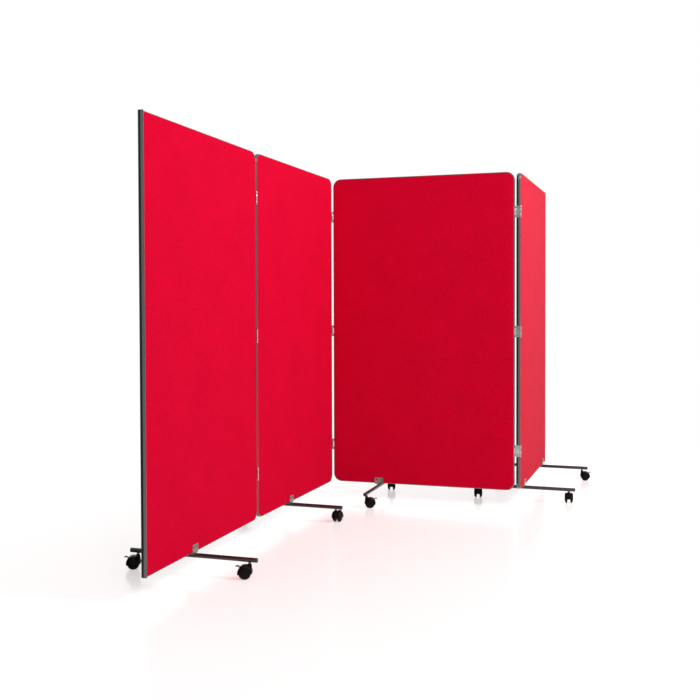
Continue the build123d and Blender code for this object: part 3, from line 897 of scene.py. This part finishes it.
SCREW_HEAD = ((0.0026, -0.0002), (0.0038, 0.00010), (0.0038, 0.00022), (0.0034, 0.00034))
SCREW_RECESS = (8, 0.0023, 0.0007, -0.0006)
PIN_HEAD = (
    (0.0, -0.0004), (0.0027, -0.0004), (0.0029, 0.0), (0.0028, 0.0005), (0.0022, 0.0010), (0.0012, 0.0013),
    (0.0, 0.0014),
)
PIN_STEPS = 20


def panel_places(panel, points, turn):
    """Matrices at points of a panel's own frame, turned the same way in that frame."""
    return [panel.matrix @ place for place in placed(points, turn)]


def make_leaf_screws(number):
    """The cross-recessed heads of a panel's hinge screws."""
    panel = PanelFrame(number)
    places = []
    for edge in hinged_edges(number):
        x = panel.width + LEAF_THICKNESS if edge > 0 else -LEAF_THICKNESS
        points = []
        for height in hinge_heights(panel):
            for side in (-1, 1):
                points.append(Vector((x, 0, height + side * SCREW_SPACING / 2)))
        places += panel_places(panel, points, Euler((0, edge * math.pi / 2, 0)).to_matrix())
    head = recessed_head("screw_head", SCREW_HEAD, SCREW_RECESS)
    copies(f"panel_{number}_hinge_screws", head, places, "screw", f"panel_{number}")


def make_pin_heads(line):
    """The domed ends of a hinge line's pins, above and below each hinge."""
    panel = PanelFrame(PANELS[0])
    places = []
    for side_name in SIDES:
        x, y, _ = joint(f"hinge_{line}_{side_name}_pin")["pos_m"]
        for height in hinge_heights(panel):
            middle = panel.matrix.translation.z + height
            for end in (-1, 1):
                turn = Matrix() if end > 0 else Euler((math.pi, 0, 0)).to_matrix()
                places += placed([Vector((x, y, middle + end * HINGE_HEIGHT / 2))], turn)
    head = lathe("pin_head", PIN_HEAD, PIN_STEPS)
    copies(f"hinge_{line}_pin_heads", head, places, "steel", f"hinge_{line}")


# ================================================================ foot fittings

BOLT_HEAD = ((0.0052, -0.0002), (0.0052, 0.0008), (0.0049, 0.0013), (0.0043, 0.0017), (0.0036, 0.0019))
BOLT_RECESS = (6, 0.0021, 0.0021, 0.00145)
PLUG = (
    (0.0, -0.0002), (0.0101, -0.0002), (0.0103, 0.0001), (0.0103, 0.0017), (0.0100, 0.0025), (0.0093, 0.0031),
    (0.0084, 0.0034), (0.0074, 0.0034), (0.0070, 0.0031), (0.0064, 0.0031), (0.0060, 0.0034), (0.0, 0.0036),
)
PLUG_STEPS = 28


def foot_places(number):
    """Where a panel's cross rails are, along it."""
    return [share * PANEL_WIDTH for share in FOOT_SHARES[number]]


def make_bolt_heads(number):
    """The socket heads of the bolts through a panel's saddle brackets."""
    panel = PanelFrame(number)
    places = []
    for side in SIDES.values():
        y = side * (panel.half + SADDLE_WALL)
        points = []
        for x in foot_places(number):
            for step in (-1, 1):
                points.append(Vector((x + step * BOLT_SPACING / 2, y, BOLT_HEIGHT)))
        places += panel_places(panel, points, Euler((-side * math.pi / 2, 0, 0)).to_matrix())
    head = recessed_head("bolt_head", BOLT_HEAD, BOLT_RECESS)
    copies(f"panel_{number}_bolt_heads", head, places, "bolt", f"panel_{number}")


def make_rail_plugs(number):
    """The ringed end plugs of a panel's cross rails."""
    panel = PanelFrame(number)
    axis = -(TRIM_BULGE + SADDLE_BASE + RAIL_RADIUS)
    places = []
    for side in SIDES.values():
        points = [Vector((x, side * (RAIL_LENGTH / 2 - PLUG_CAP), axis)) for x in foot_places(number)]
        places += panel_places(panel, points, Euler((-side * math.pi / 2, 0, 0)).to_matrix())
    plug = lathe("rail_plug", PLUG, PLUG_STEPS)
    copies(f"panel_{number}_rail_plugs", plug, places, "plug", f"panel_{number}")


# ================================================================ castor fittings

# A wheel's profile, (radius, distance from the castor's middle): inner face, tread, the
# step into the domed disc and the ring round its hub cap.
WHEEL_PROFILE = (
    (0.0, 0.0068), (0.0090, 0.0068), (0.0170, 0.0081), (0.0256, 0.0095), (0.0266, 0.0099),
    (0.0270, 0.0107), (0.0270, 0.0152), (0.0268, 0.0162), (0.0262, 0.0169), (0.0255, 0.0170),
    (0.0250, 0.0166), (0.0246, 0.0168), (0.0243, 0.0182), (0.0225, 0.0200), (0.0200, 0.0216),
    (0.0170, 0.0227), (0.0140, 0.0234), (0.0123, 0.0237), (0.0118, 0.0234), (0.0115, 0.0228),
    (0.0106, 0.0227), (0.0102, 0.0234), (0.0098, 0.0241), (0.0088, 0.0245), (0.0060, 0.0247),
    (0.0, 0.0248),
)
WHEEL_STEPS = 56
WHEEL_SMOOTH_ANGLE = 26
AXLE_END = 0.0070
AXLE = ((0.0, -AXLE_END), (AXLE_RADIUS, -AXLE_END), (AXLE_RADIUS, AXLE_END), (0.0, AXLE_END))
AXLE_STEPS = 20
SPOKES = 7
# A spoke: a low rounded rib on the disc, (along it, height above the disc's middle plane).
SPOKE_RUN = ((0.0136, 0.0233), (0.0150, 0.0238), (0.0185, 0.0229), (0.0212, 0.0215), (0.0228, 0.0199))
SPOKE_HALF_WIDTH = 0.0012
SPOKE_SIDE_DROP = 0.0010
SPOKE_TAPER = 0.7  # its width at the hub as a share of that at the rim
SPOKE_SMOOTH_ANGLE = 30
# The paddle's anti-slip ribs, in the castor's frame and measured from the axle.
PADDLE_HINGE = (0.0312, 0.0295)
PADDLE_END = (0.0390, 0.0277)
PADDLE_RIBS = 4
RIB_RADIUS = 0.00045
RIB_HALF_LENGTH = 0.0070
RIB_RUN = ((-1.0, 0.2), (-0.92, 1.0), (0.92, 1.0), (1.0, 0.2))  # along it and its radius there, as shares
RIB_STEPS = 6
RIB_SINK = 0.0001


def spoke_mesh():
    """One rib of a wheel's disc, along X, standing on the disc's dome."""
    form = bmesh.new()
    rings = []
    first, last = SPOKE_RUN[0][0], SPOKE_RUN[-1][0]
    for x, z in SPOKE_RUN:
        half = SPOKE_HALF_WIDTH * (SPOKE_TAPER + (1 - SPOKE_TAPER) * (x - first) / (last - first))
        foot = z - SPOKE_SIDE_DROP
        section = ((-half, foot), (-half * 0.5, z), (half * 0.5, z), (half, foot))
        rings.append([form.verts.new((x, y, height)) for y, height in section])
    return capped_mesh("spoke", form, rings)


def rib_mesh():
    """One half-round rib across the brake paddle, along Y."""
    form = bmesh.new()
    rings = []
    angles = [math.pi * step / RIB_STEPS for step in range(RIB_STEPS + 1)]
    for along_rib, share in RIB_RUN:
        radius = RIB_RADIUS * share
        arch = [(radius * math.cos(angle), radius * math.sin(angle) - RIB_SINK) for angle in angles]
        rings.append([form.verts.new((x, RIB_HALF_LENGTH * along_rib, z)) for x, z in arch])
    return capped_mesh("rib", form, rings)


def wheel_frames(number):
    """The two wheels' frames: Z out along the axle from the castor's middle."""
    axle = Vector(joint(f"castor_{number}_roll")["pos_m"])
    turned = castor_matrix(number).to_3x3().to_4x4()
    middle = Matrix.Translation(axle) @ turned
    return [middle @ Euler((-side * math.pi / 2, 0, 0)).to_matrix().to_4x4() for side in SIDES.values()]


def make_wheels(number):
    """A castor's two wheels with their ribbed discs, and the axle between them."""
    frames = wheel_frames(number)
    wheel = template("wheel_part", lathe("wheel", WHEEL_PROFILE, WHEEL_STEPS), WHEEL_SMOOTH_ANGLE)
    spoke = template("spoke_part", spoke_mesh(), SPOKE_SMOOTH_ANGLE)
    axle = template("axle_part", lathe("axle", AXLE, AXLE_STEPS), SPOKE_SMOOTH_ANGLE)
    spokes = []
    for place in frames:
        for step in range(SPOKES):
            spokes.append(place @ Matrix.Rotation(2 * math.pi * step / SPOKES, 4, "Z"))
    name = f"castor_{number}_wheel_pair"
    parts = [
        repeated(name, wheel, frames, "wheel"),
        repeated(name + "_spokes", spoke, spokes, "wheel"),
        repeated(name + "_axle", axle, frames[:1], "steel"),
    ]
    for part in (wheel, spoke, axle):
        bpy.data.objects.remove(part)
    for part in parts:
        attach(part, f"castor_{number}_wheel_pair")
    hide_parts(f"castor_{number}_wheels")


def make_paddle_ribs(number):
    """The anti-slip ribs on a castor's brake paddle."""
    castor = castor_matrix(number)
    axle = castor.inverted() @ Vector(joint(f"castor_{number}_roll")["pos_m"])
    run = Vector((PADDLE_END[0] - PADDLE_HINGE[0], 0, PADDLE_END[1] - PADDLE_HINGE[1]))
    lean = Matrix.Rotation(-math.atan2(run.z, run.x), 3, "Y")
    points = []
    for step in range(PADDLE_RIBS):
        share = (step + 0.5) / PADDLE_RIBS
        points.append(axle + Vector((PADDLE_HINGE[0], 0, PADDLE_HINGE[1])) + run * share)
    places = [castor @ place for place in placed(points, lean)]
    body = f"castor_{number}_brake"
    copies(f"castor_{number}_paddle_ribs", rib_mesh(), places, "nylon", body)


# ================================================================ stage

FLOOR_RADIUS = 14.0
FLOOR_SPECULAR = 0.7
SCUFF_SCALE = 6.0
SCUFF_SPREAD = 0.03
WHITE = (1, 1, 1, 1)
BRIGHT_SIDE = (0.80, -0.20, 0.56)  # where most of the soft light comes from
BRIGHT_SPAN = (-0.6, 0.8)  # along the bright side, from dim to bright
SOFT_SHARES = (0.8, 1.2)  # of the ambient strength, on the dim and the bright side
DIM_SIDE = 0.06  # what polished surfaces see on the dim side
BACKDROP_SIDE = (0.0, 1.0, 0.0)  # where polished surfaces see the backdrop white
BACKDROP_SPAN = (0.0, 0.4)
DIM_FLOOR = (-0.95, -0.60)  # polished surfaces see the floor dim up to the first x, and full from the second
# The soft boxes: their place, what they look at and their width.
KEY_LAMP = ((3.8, -0.2, 4.3), (-0.2, 0.4, 1.5), 2.0)
FILL_LAMP = ((1.4, -4.6, 4.8), (0.0, 0.4, 1.4), 2.4)


def white_light(tree, strength):
    """A white light of its own, for a surface."""
    return add(tree, "ShaderNodeEmission", {"Color": WHITE, "Strength": strength}).outputs["Emission"]


def mixed(tree, share, first, second):
    """Two shaders mixed: all of the second where the share is 1."""
    return add(tree, "ShaderNodeMixShader", {0: share, 1: first, 2: second}).outputs["Shader"]


def floor_material():
    """White studio floor with the shadow and a faint reflection of the partition.

    A lift leaves only the deeper shadow where the floor is seen, and further off the floor
    runs out to plain white. Polished surfaces see it dim on the dim side of the room.
    """
    wanted = settings().stage
    material, shader, leave, where = new_material(
        "studio_floor", "Object",
        {"Base Color": (*wanted.floor_colour, 1.0), "Specular IOR Level": FLOOR_SPECULAR},
    )
    tree = material.node_tree
    marks = shader_part(tree, "scuffs", {
        "Vector": where, "Scratch Scale": SCUFF_SCALE, "Roughness": wanted.floor_roughness,
        "Roughness Spread": SCUFF_SPREAD,
    })
    connect(tree, shader, {"Roughness": marks.outputs["Roughness"]})
    path = add(tree, "ShaderNodeLightPath").outputs
    seen = maths(tree, "MAXIMUM", path["Is Camera Ray"], path["Is Glossy Ray"])
    lift = white_light(tree, maths(tree, "MULTIPLY", seen, wanted.floor_lift))
    lifted = add(tree, "ShaderNodeAddShader", {0: shader.outputs["BSDF"], 1: lift}).outputs["Shader"]
    reach = add(tree, "ShaderNodeVectorMath", {0: where}, operation="LENGTH").outputs["Value"]
    away = map_range(tree, reach, source=(wanted.floor_fade_start, wanted.floor_fade_end))
    faded = mixed(tree, maths(tree, "MULTIPLY", away, seen), lifted, white_light(tree, 1.0))
    across = add(tree, "ShaderNodeSeparateXYZ", {0: where}).outputs["X"]
    side = map_range(tree, across, source=DIM_FLOOR, target=(1.0, 0.0))
    dim = maths(tree, "MULTIPLY", path["Is Glossy Ray"], side)
    connect(tree, leave, {"Surface": mixed(tree, dim, faded, white_light(tree, DIM_SIDE))})
    return material


def make_floor():
    """The floor, a disc that the wheels stand on."""
    form = bmesh.new()
    bmesh.ops.create_circle(form, cap_ends=True, segments=64, radius=FLOOR_RADIUS)
    floor = new_object("studio_floor", mesh_from("studio_floor", form))
    floor.data.materials.append(floor_material())


def make_world():
    """Soft light from all round, stronger from the bright side, on a white background.

    The camera and glass see plain white. Polished surfaces see a bright side, a white
    backdrop and a dim side of the room, which gives their facets different tones.
    """
    world = bpy.data.worlds.new("studio_light")
    bpy.context.scene.world = world
    world.use_nodes = True
    tree = world.node_tree
    tree.nodes.clear()
    where = add(tree, "ShaderNodeTexCoord").outputs["Generated"]
    path = add(tree, "ShaderNodeLightPath").outputs
    bright = along(tree, where, BRIGHT_SIDE)
    side = map_range(tree, bright, source=BRIGHT_SPAN, interpolation_type="SMOOTHSTEP")
    ambient = settings().stage.ambient
    soft = map_range(tree, side, target=[share * ambient for share in SOFT_SHARES])
    backdrop = map_range(tree, along(tree, where, BACKDROP_SIDE), source=BACKDROP_SPAN)
    mirrored = map_range(tree, maths(tree, "MAXIMUM", side, backdrop), target=(DIM_SIDE, 1.0))
    strength = add(tree, "ShaderNodeMix", {0: path["Is Glossy Ray"], 2: soft, 3: mirrored}, data_type="FLOAT")
    room, white = (
        add(tree, "ShaderNodeBackground", {"Color": WHITE, "Strength": level}).outputs["Background"]
        for level in (strength.outputs[0], 1.0)
    )
    seen = maths(tree, "MAXIMUM", path["Is Camera Ray"], path["Is Transmission Ray"])
    add(tree, "ShaderNodeOutputWorld", {"Surface": mixed(tree, seen, room, white)})


def make_lamp(name, watts, place, target, width):
    """A square soft box that looks at a point."""
    data = bpy.data.lights.new(name, "AREA")
    data.shape = "SQUARE"
    data.size = width
    data.energy = watts
    lamp = new_object(name, data)
    lamp.location = place
    lamp.rotation_euler = (Vector(target) - Vector(place)).to_track_quat("-Z", "Y").to_euler()


def make_camera():
    """The camera, with its lens and shift in the image's own pixels."""
    data = bpy.data.cameras.new("camera")
    data.sensor_fit = "HORIZONTAL"
    data.sensor_width = SENSOR
    data.lens = FOCAL_PIXELS / IMAGE_SIZE * SENSOR
    data.shift_x = (IMAGE_SIZE / 2 - CENTRE_PIXEL[0]) / IMAGE_SIZE
    data.shift_y = (CENTRE_PIXEL[1] - IMAGE_SIZE / 2) / IMAGE_SIZE
    camera = new_object("camera", data)
    forward = Vector((
        math.sin(CAMERA_HEADING) * math.cos(CAMERA_TILT),
        math.cos(CAMERA_HEADING) * math.cos(CAMERA_TILT),
        -math.sin(CAMERA_TILT),
    ))
    level = Vector((math.cos(CAMERA_HEADING), -math.sin(CAMERA_HEADING), 0))
    upright = level.cross(forward)
    x = level * math.cos(CAMERA_ROLL) + upright * math.sin(CAMERA_ROLL)
    y = upright * math.cos(CAMERA_ROLL) - level * math.sin(CAMERA_ROLL)
    camera.matrix_world = matrix_from(x, y, -forward, CAMERA_PLACE)
    bpy.context.scene.camera = camera


# ================================================================ settings

def colour_of(name, description, default):
    """A colour setting."""
    return bpy.props.FloatVectorProperty(
        name=name, description=description, subtype="COLOR", size=3, min=0, max=1, default=default,
    )


def number_of(name, description, default, **options):
    """A number setting, from nought up unless it says otherwise."""
    options = {"min": 0, **options}
    return bpy.props.FloatProperty(name=name, description=description, default=default, **options)


class PARTITION_PG_cloth(bpy.types.PropertyGroup):
    """The cloth on the panels."""

    colour: colour_of("Cloth colour", "Colour of the looped cloth", (0.80, 0.0015, 0.034))
    loop_size: number_of(
        "Loop size", "Distance from loop to loop", 0.0019, unit="LENGTH", min=0.0005, max=0.01,
    )
    sheen: number_of(
        "Sheen", "How much of the fibres' ends catches the light", 0.06, subtype="FACTOR", max=1,
    )
    # painted sheen: how much paler pink the colour is painted where the cloth is seen edge-on
    painted_sheen_amount: number_of(
        "Bloom", "How much paler the pile is when it is seen along the cloth", 0.15, subtype="FACTOR", max=1,
    )
    wave_height: number_of(
        "Wave height", "How far the cloth dips between the places where it is glued", 0.0002,
        unit="LENGTH", max=0.001,
    )


class PARTITION_PG_moulding(bpy.types.PropertyGroup):
    """The edge moulding."""

    colour: colour_of("Moulding colour", "Colour of the edge moulding", (0.011, 0.011, 0.0105))


class PARTITION_PG_hinge(bpy.types.PropertyGroup):
    """The hinges."""

    colour: colour_of("Steel colour", "Colour of the plated steel", (0.44, 0.45, 0.43))
    screw_colour: colour_of("Screw colour", "Colour of the screw heads", (0.38, 0.38, 0.36))


class PARTITION_PG_foot(bpy.types.PropertyGroup):
    """The feet."""

    rail_colour: colour_of("Rail colour", "Colour of the cross rails", (0.014, 0.0125, 0.012))
    plug_colour: colour_of("Plug colour", "Colour of the rails' end plugs", (0.012, 0.012, 0.012))
    bracket_colour: colour_of("Bracket colour", "Colour of the saddle brackets", (0.25, 0.235, 0.215))
    bolt_colour: colour_of("Bolt colour", "Colour of the bolt heads", (0.10, 0.10, 0.10))


class PARTITION_PG_castor(bpy.types.PropertyGroup):
    """The castors."""

    colour: colour_of("Hood colour", "Colour of the castor hoods and brake levers", (0.0034, 0.0028, 0.0025))
    wheel_colour: colour_of("Wheel colour", "Colour of the wheels", (0.004, 0.0033, 0.003))


class PARTITION_PG_stage(bpy.types.PropertyGroup):
    """The floor and the light."""

    floor_colour: colour_of("Floor colour", "Colour of the studio floor", (0.60, 0.59, 0.58))
    floor_roughness: number_of(
        "Floor roughness", "How soft the floor's reflection is", 0.20, subtype="FACTOR", min=0.05, max=1,
    )
    floor_lift: number_of(
        "Floor lift", "Light added to the floor where it is seen, which leaves only its deeper shadow",
        0.45, max=1,
    )
    floor_fade_start: number_of(
        "Fade start", "How far from the middle the floor starts to run out to white", 1.9, unit="LENGTH",
    )
    floor_fade_end: number_of(
        "Fade end", "How far from the middle the floor is plain white", 3.6, unit="LENGTH", min=0.1,
    )
    ambient: number_of("Ambient", "Strength of the light from all round", 0.58, max=2)
    key_power: number_of("Key power", "Power of the main soft box", 215.0, unit="POWER")
    fill_power: number_of("Fill power", "Power of the soft box beside the camera", 62.0, unit="POWER")


class PARTITION_PG_settings(bpy.types.PropertyGroup):
    """Everything that can be set on the partition."""

    cloth: bpy.props.PointerProperty(name="Cloth", type=PARTITION_PG_cloth)
    moulding: bpy.props.PointerProperty(name="Moulding", type=PARTITION_PG_moulding)
    hinge: bpy.props.PointerProperty(name="Hinges", type=PARTITION_PG_hinge)
    foot: bpy.props.PointerProperty(name="Feet", type=PARTITION_PG_foot)
    castor: bpy.props.PointerProperty(name="Castors", type=PARTITION_PG_castor)
    stage: bpy.props.PointerProperty(name="Stage", type=PARTITION_PG_stage)


# ================================================================ operators and panel

class PARTITION_OT_panels(bpy.types.Operator):
    """Dress the panels: cloth on both faces and moulding round the edge"""

    bl_idname = "partition.panels"
    bl_label = "Panels"

    def execute(self, context):
        for number in PANELS:
            paint_node(f"panel_{number}_board", "board")
            make_cloth(number)
            make_moulding(number)
        return {"FINISHED"}


class PARTITION_OT_hinges(bpy.types.Operator):
    """Finish the hinges: leaves, links, pins and screw heads"""

    bl_idname = "partition.hinges"
    bl_label = "Hinges"

    def execute(self, context):
        for number in PANELS:
            paint_node(f"panel_{number}_hinge_leaves", "steel", LEAF_ROUNDING)
            make_leaf_screws(number)
        for line in LINES:
            paint_node(f"hinge_{line}_links", "steel", LEAF_ROUNDING)
            paint_node(f"hinge_{line}_pins", "steel")
            make_pin_heads(line)
        return {"FINISHED"}


class PARTITION_OT_feet(bpy.types.Operator):
    """Finish the feet: cross rails, end plugs, saddle brackets and bolts"""

    bl_idname = "partition.feet"
    bl_label = "Feet"

    def execute(self, context):
        for number in PANELS:
            paint_node(f"panel_{number}_foot_rail", "rail")
            paint_node(f"panel_{number}_foot_bracket", "bracket", BRACKET_ROUNDING)
            make_bolt_heads(number)
            make_rail_plugs(number)
        return {"FINISHED"}


class PARTITION_OT_castors(bpy.types.Operator):
    """Finish the castors: hoods, wheels and brake levers"""

    bl_idname = "partition.castors"
    bl_label = "Castors"

    def execute(self, context):
        for number in CASTORS:
            paint_node(f"castor_{number}_hood", "nylon", HOOD_ROUNDING)
            paint_node(f"castor_{number}_brake_lever", "nylon", LEVER_ROUNDING)
            make_wheels(number)
            make_paddle_ribs(number)
        return {"FINISHED"}


class PARTITION_OT_stage(bpy.types.Operator):
    """Set the floor, the light and the camera"""

    bl_idname = "partition.stage"
    bl_label = "Stage"

    def execute(self, context):
        wanted = settings().stage
        make_floor()
        make_world()
        make_lamp("key_light", wanted.key_power, *KEY_LAMP)
        make_lamp("fill_light", wanted.fill_power, *FILL_LAMP)
        make_camera()
        return {"FINISHED"}


class PARTITION_PT_panel(bpy.types.Panel):
    """Sizes, colours and pieces of the partition"""

    bl_idname = "PARTITION_PT_panel"
    bl_label = "Rolling Partition"
    bl_space_type = "VIEW_3D"
    bl_region_type = "UI"
    bl_category = "Partition"

    def draw(self, context):
        wanted = context.scene.partition
        groups = (wanted.cloth, wanted.moulding, wanted.hinge, wanted.foot, wanted.castor, wanted.stage)
        for group in groups:
            box = self.layout.box()
            for key in group.bl_rna.properties.keys():
                if key not in ("rna_type", "name"):
                    box.prop(group, key)
        for operator in OPERATORS:
            self.layout.operator(operator.bl_idname)


SETTINGS = (
    PARTITION_PG_cloth, PARTITION_PG_moulding, PARTITION_PG_hinge, PARTITION_PG_foot,
    PARTITION_PG_castor, PARTITION_PG_stage, PARTITION_PG_settings,
)
OPERATORS = (
    PARTITION_OT_panels, PARTITION_OT_hinges, PARTITION_OT_feet, PARTITION_OT_castors, PARTITION_OT_stage,
)
CLASSES = SETTINGS + OPERATORS + (PARTITION_PT_panel,)


def register():
    for item in CLASSES:
        bpy.utils.register_class(item)
    bpy.types.Scene.partition = bpy.props.PointerProperty(type=PARTITION_PG_settings)


def unregister():
    del bpy.types.Scene.partition
    for item in reversed(CLASSES):
        bpy.utils.unregister_class(item)


def main():
    register()
    bpy.context.scene.view_settings.view_transform = "Standard"
    bpy.ops.partition.stage()
    bpy.ops.partition.panels()
    bpy.ops.partition.hinges()
    bpy.ops.partition.feet()
    bpy.ops.partition.castors()


if __name__ == "__main__":
    main()
